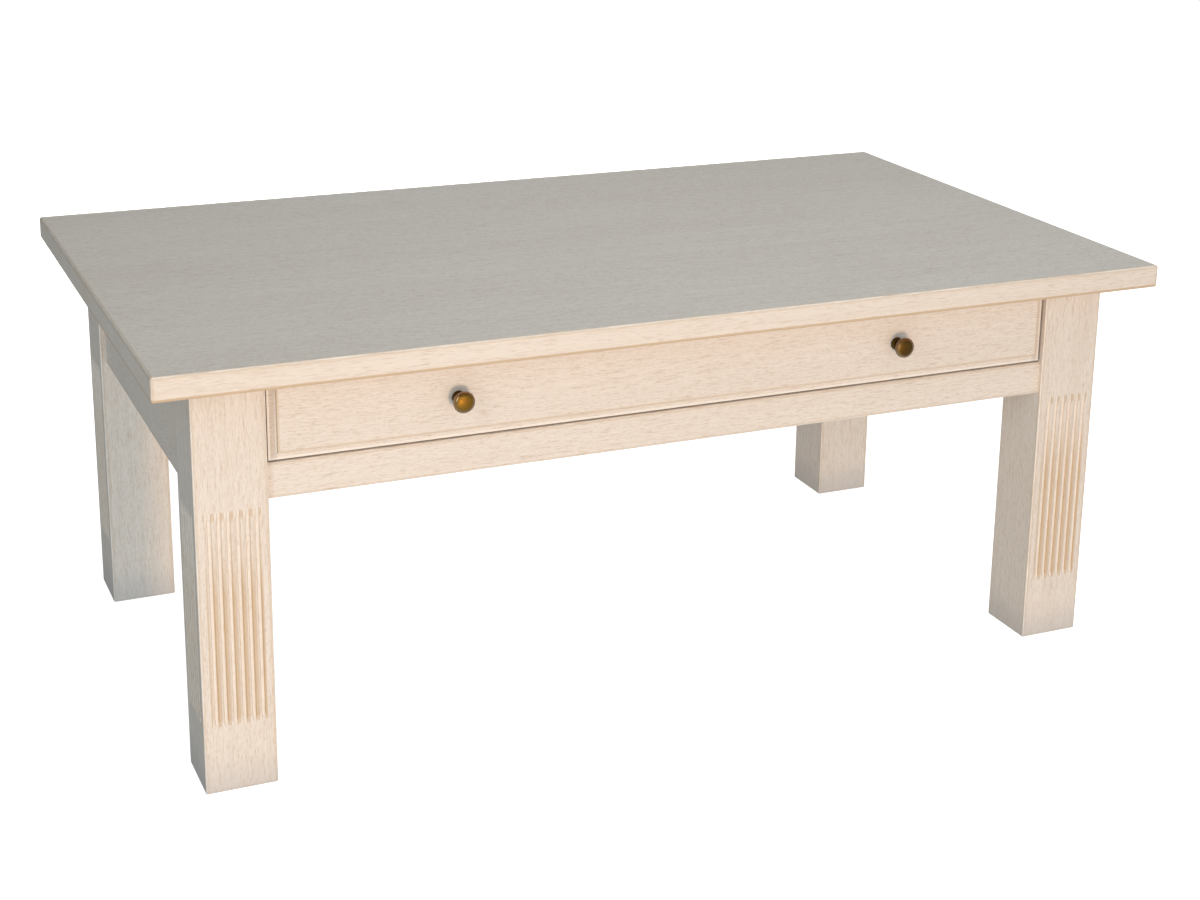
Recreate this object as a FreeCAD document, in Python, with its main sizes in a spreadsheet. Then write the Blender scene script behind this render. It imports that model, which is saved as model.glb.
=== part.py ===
"""Coffee table in limed beech: a slab top on four fluted legs, with one wide drawer under the top.

Millimetres, +Z up, +X to the right and -Y to the front.
The origin is on the floor, under the middle of the top.
"""

import FreeCAD
import Part

import os

import Sketcher

# Driving dimensions in millimetres, and the number of flutes on a leg's face.
SIZES = {
    # The slab top.
    "top_length": 1200,
    "top_depth": 700,
    "top_thickness": 27,
    "table_height": 485,
    "top_arris": 3,
    # The four legs and the flutes on their outward faces.
    "leg_width": 78,
    "side_overhang": 46,
    "front_overhang": 47,
    "leg_arris": 2,
    "flute_count": 6,
    "flute_pitch": 10,
    "flute_width": 7.2,
    "flute_depth": 2.2,
    "flute_runout": 10,
    "flute_foot": 78,
    "flute_head_margin": 10,
    # The aprons and the rail under the drawer, with their tenons.
    "apron_height": 136,
    "apron_thickness": 22,
    "apron_setback": 7,
    "apron_arris": 2,
    "apron_shoulder": 20,
    "rail_height": 40,
    "rail_thickness": 25,
    "rail_setback": 6,
    "rail_arris": 3,
    "rail_shoulder": 8,
    "tenon_length": 30,
    "tenon_thickness": 10,
    "joint_clearance": 0.2,
    # The flat boards under the top: the stretcher behind the drawer front and a kicker at each side.
    "kicker_thickness": 14,
    "kicker_clearance": 4,
    "stretcher_gap": 3.5,
    "lap_length": 20,
    "lap_shoulder": 8,
    # What carries and steers the drawer.
    "runner_thickness": 20,
    "runner_ledge": 26,
    "tongue_depth": 8,
    "tongue_thickness": 8,
    "guide_width": 24,
    "guide_height": 30,
    "sliding_clearance": 0.3,
    "stop_length": 50,
    "stop_depth": 8,
    "stop_height": 5,
    "stop_spacing": 400,
    # The blocks that hold the top to the back apron, and all wood screws.
    "block_length": 50,
    "block_section": 25,
    "block_spacing": 300,
    "screw_diameter": 4,
    "screw_head_diameter": 8,
    "screw_bite": 14,
    "screw_clearance": 0.1,
    # The drawer front with its coved edge, and the box behind it.
    "drawer_gap": 2,
    "drawer_front_thickness": 22,
    "field_setback": 0.5,
    "lip_width": 3,
    "cove_radius": 6,
    "quirk_depth": 0.6,
    "drawer_side_thickness": 12,
    "drawer_side_arris": 1.5,
    "drawer_back_space": 30,
    "drawer_bottom_thickness": 6,
    "groove_depth": 5,
    "groove_rise": 10,
    "dowel_diameter": 6,
    "dowel_length": 24,
    "dowel_front_bite": 10,
    "pin_diameter": 2,
    "pin_length": 20,
    # The turned knobs and the screws that hold them from inside the drawer.
    "knob_spacing": 538,
    "knob_base_diameter": 15,
    "knob_base_thickness": 4.4,
    "knob_base_round": 3.2,
    "knob_shoulder_diameter": 8.4,
    "knob_waist_diameter": 7,
    "knob_neck_height": 13.4,
    "knob_head_diameter": 24,
    "knob_rim_rise": 3,
    "knob_rim_thickness": 3.4,
    "knob_rim_round": 0.9,
    "knob_face_round": 2.4,
    "knob_dome_height": 2.6,
    "knob_screw_diameter": 4,
    "knob_screw_head_diameter": 8,
    "knob_screw_head_height": 3,
    "knob_screw_bite": 9,
    # How far each cutting outline runs past the wood.
    "overrun": 5,
}

# Places and sizes that several pieces share, worked out from the driving dimensions.
PLACES = {
    "top_underside": "=size.table_height - size.top_thickness",
    "apron_underside": "=top_underside - size.apron_height",
    "leg_outer_x": "=size.top_length / 2 - size.side_overhang",
    "leg_inner_x": "=leg_outer_x - size.leg_width",
    "leg_outer_y": "=size.top_depth / 2 - size.front_overhang",
    "leg_inner_y": "=leg_outer_y - size.leg_width",
    "flute_radius": "=(size.flute_width ^ 2 / 4 + size.flute_depth ^ 2) / (2 * size.flute_depth)",
    "flute_axis": "=size.leg_width / 2 + flute_radius - size.flute_depth",
    "flute_start": "=size.flute_pitch * (size.flute_count - 1) / 2",
    "flute_full_low": "=size.flute_foot + size.flute_runout",
    "flute_full_high": "=apron_underside - size.flute_head_margin - size.flute_runout",
    "flute_end_radius": "=(size.flute_runout ^ 2 + size.flute_depth ^ 2) / (2 * size.flute_depth)",
    "flute_end_reach": "=sqrt((2 * flute_end_radius - flute_radius) * flute_radius)",
    "apron_outer_x": "=leg_outer_x - size.apron_setback",
    "apron_inner_x": "=apron_outer_x - size.apron_thickness",
    "apron_outer_y": "=leg_outer_y - size.apron_setback",
    "apron_inner_y": "=apron_outer_y - size.apron_thickness",
    "rail_front_y": "=size.rail_setback - leg_outer_y",
    "rail_back_y": "=rail_front_y + size.rail_thickness",
    "rail_top": "=apron_underside + size.rail_height",
    "tenon_end_x": "=leg_inner_x + size.tenon_length",
    "tenon_end_y": "=leg_inner_y + size.tenon_length",
    "kicker_underside": "=top_underside - size.kicker_thickness",
    "kicker_middle_x": "=(leg_inner_x + apron_inner_x) / 2",
    "ledge_x": "=leg_inner_x - size.runner_ledge",
    "runner_underside": "=rail_top - size.runner_thickness",
    "runner_middle_z": "=rail_top - size.runner_thickness / 2",
    "guide_outer_x": "=leg_inner_x + size.guide_width",
    "guide_middle_x": "=leg_inner_x + size.guide_width / 2",
    "guide_top": "=rail_top + size.guide_height",
    "block_front_y": "=apron_inner_y - size.block_section",
    "block_middle_y": "=apron_inner_y - size.block_section / 2",
    "block_underside": "=top_underside - size.block_section",
    "block_middle_z": "=top_underside - size.block_section / 2",
    "screw_head_height": "=(size.screw_head_diameter - size.screw_diameter) / 2",
    "front_field_y": "=size.field_setback - leg_outer_y",
    "front_back_y": "=front_field_y + size.drawer_front_thickness",
    "front_half_width": "=leg_inner_x - size.drawer_gap",
    "front_bottom": "=rail_top + size.drawer_gap",
    "front_half_height": "=(top_underside - size.drawer_gap - front_bottom) / 2",
    "front_middle_z": "=front_bottom + front_half_height",
    "edge_width": "=size.lip_width + size.cove_radius",
    "edge_depth": "=size.quirk_depth + size.cove_radius",
    "stretcher_front_y": "=front_back_y + size.stretcher_gap",
    "stretcher_middle_y": "=(stretcher_front_y - leg_inner_y) / 2",
    "stop_front_y": "=front_back_y + size.sliding_clearance",
    "box_bottom": "=rail_top + size.sliding_clearance",
    "box_top": "=kicker_underside - size.kicker_clearance",
    "box_back_y": "=block_front_y - size.drawer_back_space",
    "box_inner_x": "=front_half_width - size.drawer_side_thickness",
    "box_inner_y": "=box_back_y - size.drawer_side_thickness",
    "panel_half_width": "=box_inner_x + size.groove_depth",
    "panel_underside": "=box_bottom + size.groove_rise",
    "panel_top": "=panel_underside + size.drawer_bottom_thickness",
    "knob_rim_low": "=size.knob_neck_height + size.knob_rim_rise",
    "knob_rim_high": "=knob_rim_low + size.knob_rim_thickness",
    "knob_projection": "=knob_rim_high + size.knob_dome_height",
    "knob_head_radius": "=size.knob_head_diameter / 2",
    "knob_dome_radius": "=(knob_head_radius ^ 2 + size.knob_dome_height ^ 2) / (2 * size.knob_dome_height)",
    "knob_waist_rise": "=(size.knob_neck_height - size.knob_base_thickness) / 2",
    "knob_waist_depth": "=(size.knob_shoulder_diameter - size.knob_waist_diameter) / 2",
    "knob_waist_radius": "=(knob_waist_rise ^ 2 + knob_waist_depth ^ 2) / (2 * knob_waist_depth)",
}

# Signs of the left and right halves along X, and of the front and back halves along Y.
SIDES = {"left": -1, "right": 1}
ENDS = {"front": -1, "back": 1}

# Turns that take a rod or a knob from standing upright to pointing another way.
TURNS = {
    "up": FreeCAD.Rotation(),
    "down": FreeCAD.Rotation(FreeCAD.Vector(1, 0, 0), 180),
    "front": FreeCAD.Rotation(FreeCAD.Vector(1, 0, 0), 90),
    "back": FreeCAD.Rotation(FreeCAD.Vector(1, 0, 0), -90),
    "right": FreeCAD.Rotation(FreeCAD.Vector(0, 1, 0), 90),
}

doc = FreeCAD.newDocument("coffee_table")
finished = {}


def fill_sheet(name, cells):
    """Put one named cell in each row of a new sheet."""
    sheet = doc.addObject("Spreadsheet::Sheet", name)
    for row, (alias, content) in enumerate(cells.items(), start=1):
        sheet.set(f"A{row}", alias)
        sheet.set(f"B{row}", str(content))
        sheet.setAlias(f"B{row}", alias)
    doc.recompute()
    return sheet


size_sheet = fill_sheet("size", SIZES)
fill_sheet("place", PLACES)


def value(expression):
    """What an expression over the two sheets comes to."""
    return float(size_sheet.evalExpression(expression))


def finish(label, piece):
    """Name a finished piece of the table."""
    piece.Label = label
    finished[label] = piece


def put(piece, place, turn="up"):
    """Turn a piece and bind its place to three expressions."""
    piece.Placement = FreeCAD.Placement(FreeCAD.Vector(), TURNS[turn])
    for axis, expression in zip("xyz", place):
        piece.setExpression(f"Placement.Base.{axis}", expression)
    return piece


def across(sign, near, far):
    """The stretch between two distances from the middle of the table, on one side of it."""
    return (near, far) if sign > 0 else (f"-({far})", f"-({near})")


def both_ways(half):
    """The stretch that reaches equally far to both sides of the middle of the table."""
    return f"-{half}", half


def about(middle, width):
    """The stretch of a given width about its own middle."""
    return f"{middle} - {width} / 2", f"{middle} + {width} / 2"


def block(name, stretches, growth="0"):
    """A box over three stretches, along X, Y and Z, grown all round where it is room for another piece."""
    box = doc.addObject("Part::Box", name)
    for prop, (low, high) in zip(("Length", "Width", "Height"), stretches):
        box.setExpression(prop, f"({high}) - ({low}) + 2 * {growth}")
    return put(box, [f"{low} - {growth}" for low, high in stretches])


def rod(name, diameter, length, start, turn, growth="0"):
    """A round rod, or with growth the hole for one."""
    cylinder = doc.addObject("Part::Cylinder", name)
    cylinder.setExpression("Radius", f"{diameter} / 2 + {growth}")
    cylinder.setExpression("Height", f"{length} + {growth}")
    return put(cylinder, start, turn)


def fuse(name, pieces):
    """Several solids as one."""
    union = doc.addObject("Part::MultiFuse", name)
    union.Shapes = pieces
    return union


def group(name, pieces):
    """Several solids that stay apart but belong together."""
    compound = doc.addObject("Part::Compound", name)
    compound.Links = pieces
    return compound


def cut(name, base, *rooms):
    """A piece less the recesses and holes in it."""
    difference = doc.addObject("Part::Cut", name)
    difference.Base = base
    difference.Tool = group(f"{name}_rooms", list(rooms))
    return difference


def origin_feature(body, role):
    """One of a body's own axes or planes."""
    return next(feature for feature in body.Origin.OriginFeatures if feature.Role == role)


def sketch_on(body, name, role, x="0", z="0"):
    """A sketch on one of a body's own planes, moved sideways within it by x and along its normal by z."""
    sketch = body.newObject("Sketcher::SketchObject", name)
    sketch.AttachmentSupport = (origin_feature(body, role), [""])
    sketch.MapMode = "FlatFace"
    sketch.setExpression("AttachmentOffset.Base.x", x)
    sketch.setExpression("AttachmentOffset.Base.z", z)
    return sketch


def hold_corner(sketch, index, position, corner):
    """Hold a corner of an outline at two expressions from the sketch's origin."""
    # A corner with no X lies on the vertical axis, and one with no Y on the horizontal axis.
    for kind, axis, expression in (("DistanceX", -2, corner[0]), ("DistanceY", -1, corner[1])):
        if expression == "0":
            sketch.addConstraint(Sketcher.Constraint("PointOnObject", index, position, axis))
        else:
            distance = Sketcher.Constraint(kind, -1, 1, index, position, value(expression))
            sketch.setExpression(f"Constraints[{sketch.addConstraint(distance)}]", expression)


def outline(sketch, corners, arcs=None):
    """Draw a closed outline. arcs holds, by number, the centre and radius of each stretch that is round."""
    arcs = arcs or {}
    points = [FreeCAD.Vector(value(x), value(y), 0) for x, y in corners]
    stretches = []
    for number, (start, end) in enumerate(zip(points, points[1:] + points[:1])):
        line = Part.LineSegment(start, end)
        if number in arcs:
            centre_x, centre_y, radius = (value(expression) for expression in arcs[number])
            centre = FreeCAD.Vector(centre_x, centre_y, 0)
            outward = ((start + end) / 2 - centre).normalize()
            line = Part.Arc(start, centre + outward * radius, end)
        index = sketch.addGeometry(line)
        away = [sketch.getPoint(index, position).distanceToPoint(start) for position in (1, 2)]
        first = 1 if away[0] < away[1] else 2
        stretches.append((index, first, 3 - first))
    for before, after in zip(stretches, stretches[1:] + stretches[:1]):
        sketch.addConstraint(Sketcher.Constraint("Coincident", before[0], before[2], after[0], after[1]))
    for (index, first, _), corner in zip(stretches, corners):
        hold_corner(sketch, index, first, corner)
    for number, (_, _, radius) in arcs.items():
        bend = Sketcher.Constraint("Radius", stretches[number][0], value(radius))
        sketch.setExpression(f"Constraints[{sketch.addConstraint(bend)}]", radius)
    return sketch


def rectangle(sketch, half_width, half_height):
    """Draw a rectangle about the sketch's origin."""
    right, top = half_width, half_height
    left, bottom = f"-{half_width}", f"-{half_height}"
    outline(sketch, [(left, bottom), (right, bottom), (right, top), (left, top)])


def extrude(body, kind, name, sketch, length):
    """Raise a sketch along its normal, or cut it in against its normal, as far as an expression says."""
    step = body.newObject(f"PartDesign::{kind}", name)
    step.Profile = sketch
    step.setExpression("Length", length)
    doc.recompute()
    return step


def turn_about_upright(body, kind, name, sketch):
    """Turn a sketch once round its own vertical axis, to add to a body or cut from it."""
    step = body.newObject(f"PartDesign::{kind}", name)
    step.Profile = sketch
    step.ReferenceAxis = (sketch, ["V_Axis"])
    doc.recompute()
    return step


def mirror(body, original, role):
    """Repeat a step on the other side of one of the body's planes."""
    step = body.newObject("PartDesign::Mirrored", f"{original.Name}_mirrored")
    step.Originals = [original]
    step.MirrorPlane = (origin_feature(body, role), [""])
    body.Tip = step
    doc.recompute()


def round_over(body, base, radius, wanted):
    """Round the edges that a test picks by their bounds and the bounds of the whole piece."""
    whole = base.Shape.BoundBox
    edges = [f"Edge{n}" for n, edge in enumerate(base.Shape.Edges, start=1) if wanted(edge.BoundBox, whole)]
    step = body.newObject("PartDesign::Fillet", f"{body.Name}_arris")
    step.Base = (base, edges)
    step.setExpression("Radius", radius)
    doc.recompute()
    return step


def board(name, stretches, radius, wanted):
    """A sawn board over three stretches, with the edges that a test picks rounded."""
    body = doc.addObject("PartDesign::Body", name)
    blank = body.newObject("PartDesign::AdditiveBox", f"{name}_blank")
    for prop, (low, high) in zip(("Length", "Width", "Height"), stretches):
        blank.setExpression(prop, f"({high}) - ({low})")
    doc.recompute()
    round_over(body, blank, radius, wanted)
    return put(body, [low for low, high in stretches])


# Wood screws: countersunk, with the head's flat face flush with the piece that it holds. Each stands at a
# start, points one way, and is long enough to pass through that piece and bite into the next.
TOP_SCREW = "size.kicker_thickness + size.screw_bite"
BLOCK_SCREW = "size.block_section + size.screw_bite"
GUIDE_SCREW = "size.guide_height + size.screw_bite"
# Places along the stretcher, and along the kickers and guides, as shares of the length between the legs.
STRETCHER_SCREW_SHARES = (-0.4, -0.15, 0.15, 0.4)
SIDE_SCREW_SHARES = (-0.35, 0, 0.35)
# A block's two screws stand either side of its middle by this share of its length.
BLOCK_SCREW_SHARE = 0.25
# The fixing blocks, counted in steps of their spacing from the middle.
BLOCK_STEPS = {"left": -1, "middle": 0, "right": 1}

screws = {"top_screws": [], "guide_screws": [], "block_screws": []}
for share in STRETCHER_SCREW_SHARES:
    start = (f"{share} * 2 * place.leg_inner_x", "place.stretcher_middle_y", "place.kicker_underside")
    screws["top_screws"].append((TOP_SCREW, start, "up"))
for sign in SIDES.values():
    for share in SIDE_SCREW_SHARES:
        along = f"{share} * 2 * place.leg_inner_y"
        start = (f"{sign} * place.kicker_middle_x", along, "place.kicker_underside")
        screws["top_screws"].append((TOP_SCREW, start, "up"))
        start = (f"{sign} * place.guide_middle_x", along, "place.guide_top")
        screws["guide_screws"].append((GUIDE_SCREW, start, "down"))
for step in BLOCK_STEPS.values():
    left, right = about(f"{step} * size.block_spacing", f"{2 * BLOCK_SCREW_SHARE} * size.block_length")
    start = (left, "place.block_middle_y", "place.block_underside")
    screws["block_screws"].append((BLOCK_SCREW, start, "up"))
    start = (right, "place.block_front_y", "place.block_middle_z")
    screws["block_screws"].append((BLOCK_SCREW, start, "back"))


def wood_screw(name, length, start, turn, growth="0"):
    """A countersunk screw, or with growth the hole for one."""
    head = doc.addObject("Part::Cone", f"{name}_head")
    head.setExpression("Radius1", f"size.screw_head_diameter / 2 + {growth}")
    head.setExpression("Radius2", f"size.screw_diameter / 2 + {growth}")
    head.setExpression("Height", "place.screw_head_height")
    put(head, start, turn)
    shank = rod(f"{name}_shank", "size.screw_diameter", length, start, turn, growth)
    return fuse(name, [head, shank])


holes = {}
for name, places in screws.items():
    solids = []
    rooms = []
    for number, (length, start, turn) in enumerate(places, start=1):
        solids.append(wood_screw(f"{name}_{number}", length, start, turn))
        rooms.append(wood_screw(f"{name}_hole_{number}", length, start, turn, "size.screw_clearance"))
    finish(name, group(name, solids))
    holes[name] = group(f"{name}_holes", rooms)

# Glued joints of the frame: the stretches along X, Y and Z that a tenon, lap or tongue fills.
APRON_TENON_Z = ("place.apron_underside + size.apron_shoulder", "place.top_underside - size.apron_shoulder")
RAIL_TENON_Z = ("place.apron_underside + size.rail_shoulder", "place.rail_top - size.rail_shoulder")
LAP_Y = ("place.stretcher_front_y + size.lap_shoulder", "-place.leg_inner_y - size.lap_shoulder")


def rail_tenon(sign):
    """The front rail's tenon in the leg on one side."""
    y = about("(place.rail_front_y + place.rail_back_y) / 2", "size.tenon_thickness")
    return across(sign, "place.leg_inner_x", "place.tenon_end_x"), y, RAIL_TENON_Z


def back_tenon(sign):
    """The back apron's tenon in the leg on one side."""
    y = about("(place.apron_inner_y + place.apron_outer_y) / 2", "size.tenon_thickness")
    return across(sign, "place.leg_inner_x", "place.tenon_end_x"), y, APRON_TENON_Z


def side_tenon(sign, end):
    """A side apron's tenon in the leg at one end."""
    x = across(sign, *about("(place.apron_inner_x + place.apron_outer_x) / 2", "size.tenon_thickness"))
    return x, across(end, "place.leg_inner_y", "place.tenon_end_y"), APRON_TENON_Z


def stretcher_lap(sign):
    """The stretcher's end, let into the top of a front leg."""
    x = across(sign, "place.leg_inner_x", "place.leg_inner_x + size.lap_length")
    return x, LAP_Y, ("place.kicker_underside", "place.top_underside")


def runner_tongue(sign):
    """A runner's tongue in the groove along a side apron."""
    x = across(sign, "place.apron_inner_x", "place.apron_inner_x + size.tongue_depth")
    return x, both_ways("place.leg_inner_y"), about("place.runner_middle_z", "size.tongue_thickness")


# Top: a slab with every arris rounded, held by screws from below.
slab = doc.addObject("PartDesign::Body", "top_slab")
slab_outline = sketch_on(slab, "top_outline", "XY_Plane")
rectangle(slab_outline, "size.top_length / 2", "size.top_depth / 2")
slab_blank = extrude(slab, "Pad", "top_blank", slab_outline, "size.top_thickness")
round_over(slab, slab_blank, "size.top_arris", lambda edge, whole: True)
put(slab, ("0", "0", "place.top_underside"))
finish("table_top", cut("table_top", slab, holes["top_screws"], holes["block_screws"]))


def flute_row(body, name, sketch, axis_role):
    """Cut a row of stopped flutes along one face of a leg, round in section and running out at both ends."""
    low, high, radius = "place.flute_full_low", "place.flute_full_high", "place.flute_radius"
    bend, reach = "place.flute_end_radius", "place.flute_end_reach"
    corners = [("0", f"{low} - {reach}"), (radius, low), (radius, high), ("0", f"{high} + {reach}")]
    outline(sketch, corners, {0: (f"{radius} - {bend}", low, bend), 2: (f"{radius} - {bend}", high, bend)})
    groove = turn_about_upright(body, "Groove", f"{name}_flute", sketch)
    row = body.newObject("PartDesign::LinearPattern", f"{name}_flutes")
    row.Originals = [groove]
    row.Direction = (origin_feature(body, axis_role), [""])
    row.setExpression("Length", "size.flute_pitch * (size.flute_count - 1)")
    row.setExpression("Occurrences", "size.flute_count")
    body.Tip = row
    doc.recompute()


def leg(name, sign, end, joints):
    """A square leg, fluted on its two outward faces and mortised on its two inward ones."""
    body = doc.addObject("PartDesign::Body", f"{name}_post")
    section = sketch_on(body, f"{name}_section", "XY_Plane")
    rectangle(section, "size.leg_width / 2", "size.leg_width / 2")
    blank = extrude(body, "Pad", f"{name}_blank", section, "place.top_underside")
    round_over(body, blank, "size.leg_arris", lambda edge, whole: edge.ZMin < whole.Center.z)
    smooth = body.Shape.Volume
    end_axis, side_axis = f"{end} * place.flute_axis", f"{sign} * place.flute_axis"
    end_sketch = sketch_on(body, f"{name}_end_sketch", "YZ_Plane", end_axis, "-place.flute_start")
    flute_row(body, f"{name}_end", end_sketch, "X_Axis")
    half_fluted = body.Shape.Volume
    side_sketch = sketch_on(body, f"{name}_side_sketch", "XZ_Plane", side_axis, "place.flute_start")
    flute_row(body, f"{name}_side", side_sketch, "Y_Axis")
    if not smooth > half_fluted > body.Shape.Volume:
        raise RuntimeError(f"{name} has lost a row of flutes")
    x = f"{sign} * (place.leg_outer_x - size.leg_width / 2)"
    y = f"{end} * (place.leg_outer_y - size.leg_width / 2)"
    put(body, (x, y, "0"))
    mortises = []
    for number, joint in enumerate(joints, start=1):
        mortises.append(block(f"{name}_mortise_{number}", joint, "size.joint_clearance"))
    finish(name, cut(name, body, *mortises))


for side, sign in SIDES.items():
    front_joints = [side_tenon(sign, ENDS["front"]), rail_tenon(sign), stretcher_lap(sign)]
    leg(f"leg_front_{side}", sign, ENDS["front"], front_joints)
    leg(f"leg_back_{side}", sign, ENDS["back"], [side_tenon(sign, ENDS["back"]), back_tenon(sign)])

# Side aprons: boards with eased lower edges, a tenon at each end and a groove inside for the drawer runner.
APRON_Z = ("place.apron_underside", "place.top_underside")
for side, sign in SIDES.items():
    name = f"side_apron_{side}"
    apron_x = across(sign, "place.apron_inner_x", "place.apron_outer_x")
    face = board(
        f"{name}_board",
        (apron_x, both_ways("place.leg_inner_y"), APRON_Z),
        "size.apron_arris",
        lambda edge, whole: edge.YLength > whole.YLength / 2 and edge.ZMax < whole.Center.z,
    )
    tenons = [block(f"{name}_tenon_{end}", side_tenon(sign, ENDS[end])) for end in ENDS]
    groove = block(f"{name}_groove", runner_tongue(sign), "size.joint_clearance")
    finish(name, cut(name, fuse(f"{name}_tenoned", [face, *tenons]), groove))

# Back apron: like the side aprons, with the fixing blocks screwed to its inside.
back_face = board(
    "back_apron_board",
    (both_ways("place.leg_inner_x"), ("place.apron_inner_y", "place.apron_outer_y"), APRON_Z),
    "size.apron_arris",
    lambda edge, whole: edge.XLength > whole.XLength / 2 and edge.ZMax < whole.Center.z,
)
back_tenons = [block(f"back_apron_tenon_{side}", back_tenon(sign)) for side, sign in SIDES.items()]
back_tenoned = fuse("back_apron_tenoned", [back_face, *back_tenons])
finish("back_apron", cut("back_apron", back_tenoned, holes["block_screws"]))

# Front rail: under the drawer, with all four long edges eased and a tenon at each end.
rail_y = ("place.rail_front_y", "place.rail_back_y")
rail_face = board(
    "front_rail_board",
    (both_ways("place.leg_inner_x"), rail_y, ("place.apron_underside", "place.rail_top")),
    "size.rail_arris",
    lambda edge, whole: edge.XLength > whole.XLength / 2,
)
rail_tenons = [block(f"front_rail_tenon_{side}", rail_tenon(sign)) for side, sign in SIDES.items()]
finish("front_rail", fuse("front_rail", [rail_face, *rail_tenons]))

# Stretcher: a flat board behind the drawer front, lapped into the front legs and screwed to the top.
KICKER_Z = ("place.kicker_underside", "place.top_underside")
stretcher_y = ("place.stretcher_front_y", "-place.leg_inner_y")
stretcher_board = block("stretcher_board", (both_ways("place.leg_inner_x"), stretcher_y, KICKER_Z))
stretcher_laps = [block(f"stretcher_lap_{side}", stretcher_lap(sign)) for side, sign in SIDES.items()]
stretcher_lapped = fuse("stretcher_lapped", [stretcher_board, *stretcher_laps])
finish("front_stretcher", cut("front_stretcher", stretcher_lapped, holes["top_screws"]))

# Drawer carriage on each side: a runner tongued into the apron, a guide on it flush with the legs' inner
# faces, a kicker under the top, and a stop on the rail behind the drawer front.
for side, sign in SIDES.items():
    ledge = across(sign, "place.ledge_x", "place.apron_inner_x")
    length = both_ways("place.leg_inner_y")
    runner_z = ("place.runner_underside", "place.rail_top")
    runner_board = block(f"runner_board_{side}", (ledge, length, runner_z))
    tongue = block(f"runner_tongue_{side}", runner_tongue(sign))
    runner = fuse(f"runner_tongued_{side}", [runner_board, tongue])
    finish(f"drawer_runner_{side}", cut(f"drawer_runner_{side}", runner, holes["guide_screws"]))
    guide_x = across(sign, "place.leg_inner_x", "place.guide_outer_x")
    guide = block(f"guide_strip_{side}", (guide_x, length, ("place.rail_top", "place.guide_top")))
    finish(f"drawer_guide_{side}", cut(f"drawer_guide_{side}", guide, holes["guide_screws"]))
    kicker = block(f"kicker_board_{side}", (ledge, length, KICKER_Z))
    finish(f"kicker_{side}", cut(f"kicker_{side}", kicker, holes["top_screws"]))
    stop_x = about(f"{sign} * size.stop_spacing / 2", "size.stop_length")
    stop_y = ("place.stop_front_y", "place.stop_front_y + size.stop_depth")
    stop_z = ("place.rail_top", "place.rail_top + size.stop_height")
    finish(f"drawer_stop_{side}", block(f"drawer_stop_{side}", (stop_x, stop_y, stop_z)))

# Fixing blocks: square in section, in the corner between the back apron and the top.
for position, step in BLOCK_STEPS.items():
    name = f"fixing_block_{position}"
    block_x = about(f"{step} * size.block_spacing", "size.block_length")
    block_y = ("place.block_front_y", "place.apron_inner_y")
    blank = block(f"{name}_blank", (block_x, block_y, ("place.block_underside", "place.top_underside")))
    finish(name, cut(name, blank, holes["block_screws"]))

# Drawer joints: dowels between the sides, the front and the back, a groove round the bottom, and pins up
# through the bottom into the back.
DOWEL_HEIGHT_SHARES = (0.4, 0.8)
# How much of a back dowel lies in the end of the back. The rest of it lies in the side.
BACK_DOWEL_SHARE = 2 / 3
PIN_SHARES = (-0.35, 0, 0.35)
DOWEL = ("size.dowel_diameter", "size.dowel_length")
PIN = ("size.pin_diameter", "size.pin_length")
BOX_BACK_MIDDLE_Y = "(place.box_inner_y + place.box_back_y) / 2"
PANEL = (
    both_ways("place.panel_half_width"),
    ("place.front_back_y - size.groove_depth", "place.box_back_y"),
    ("place.panel_underside", "place.panel_top"),
)
panel_groove = block("panel_groove", PANEL, "size.joint_clearance")

dowels = []
dowel_holes = []
for side, sign in SIDES.items():
    side_middle_x = f"{sign} * (place.front_half_width - size.drawer_side_thickness / 2)"
    back_share = BACK_DOWEL_SHARE if sign > 0 else 1 - BACK_DOWEL_SHARE
    back_start_x = f"{sign} * place.box_inner_x - {back_share} * size.dowel_length"
    for number, share in enumerate(DOWEL_HEIGHT_SHARES, start=1):
        height = f"place.box_bottom + {share} * (place.box_top - place.box_bottom)"
        front_start = (side_middle_x, "place.front_back_y - size.dowel_front_bite", height)
        back_start = (back_start_x, BOX_BACK_MIDDLE_Y, height)
        for end, start, turn in (("front", front_start, "back"), ("back", back_start, "right")):
            name = f"dowel_{end}_{side}_{number}"
            dowels.append(rod(name, *DOWEL, start, turn))
            dowel_holes.append(rod(f"{name}_hole", *DOWEL, start, turn, "size.joint_clearance"))
finish("drawer_dowels", group("drawer_dowels", dowels))
dowel_rooms = group("dowel_rooms", dowel_holes)

pins = []
pin_holes = []
for number, share in enumerate(PIN_SHARES, start=1):
    start = (f"{share} * 2 * place.box_inner_x", BOX_BACK_MIDDLE_Y, "place.panel_underside")
    pins.append(rod(f"pin_{number}", *PIN, start, "up"))
    pin_holes.append(rod(f"pin_hole_{number}", *PIN, start, "up", "size.screw_clearance"))
finish("bottom_pins", group("bottom_pins", pins))
pin_rooms = group("pin_rooms", pin_holes)


# Knob screws: machine screws from inside the drawer, with a flat-topped head against the back of the front.
def knob_screw(name, start, growth="0"):
    """A knob's screw, or with growth the hole for its shank."""
    head = rod(f"{name}_head", "size.knob_screw_head_diameter", "size.knob_screw_head_height", start, "back")
    length = "size.drawer_front_thickness + size.knob_screw_bite"
    shank = rod(f"{name}_shank", "size.knob_screw_diameter", length, start, "front", growth)
    return fuse(name, [head, shank])


knob_screws = []
knob_holes = []
for side, sign in SIDES.items():
    start = (f"{sign} * size.knob_spacing / 2", "place.front_back_y", "place.front_middle_z")
    knob_screws.append(knob_screw(f"knob_screw_{side}", start))
    knob_holes.append(knob_screw(f"knob_hole_{side}", start, "size.screw_clearance"))
finish("knob_screws", group("knob_screws", knob_screws))
knob_rooms = group("knob_rooms", knob_holes)

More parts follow.
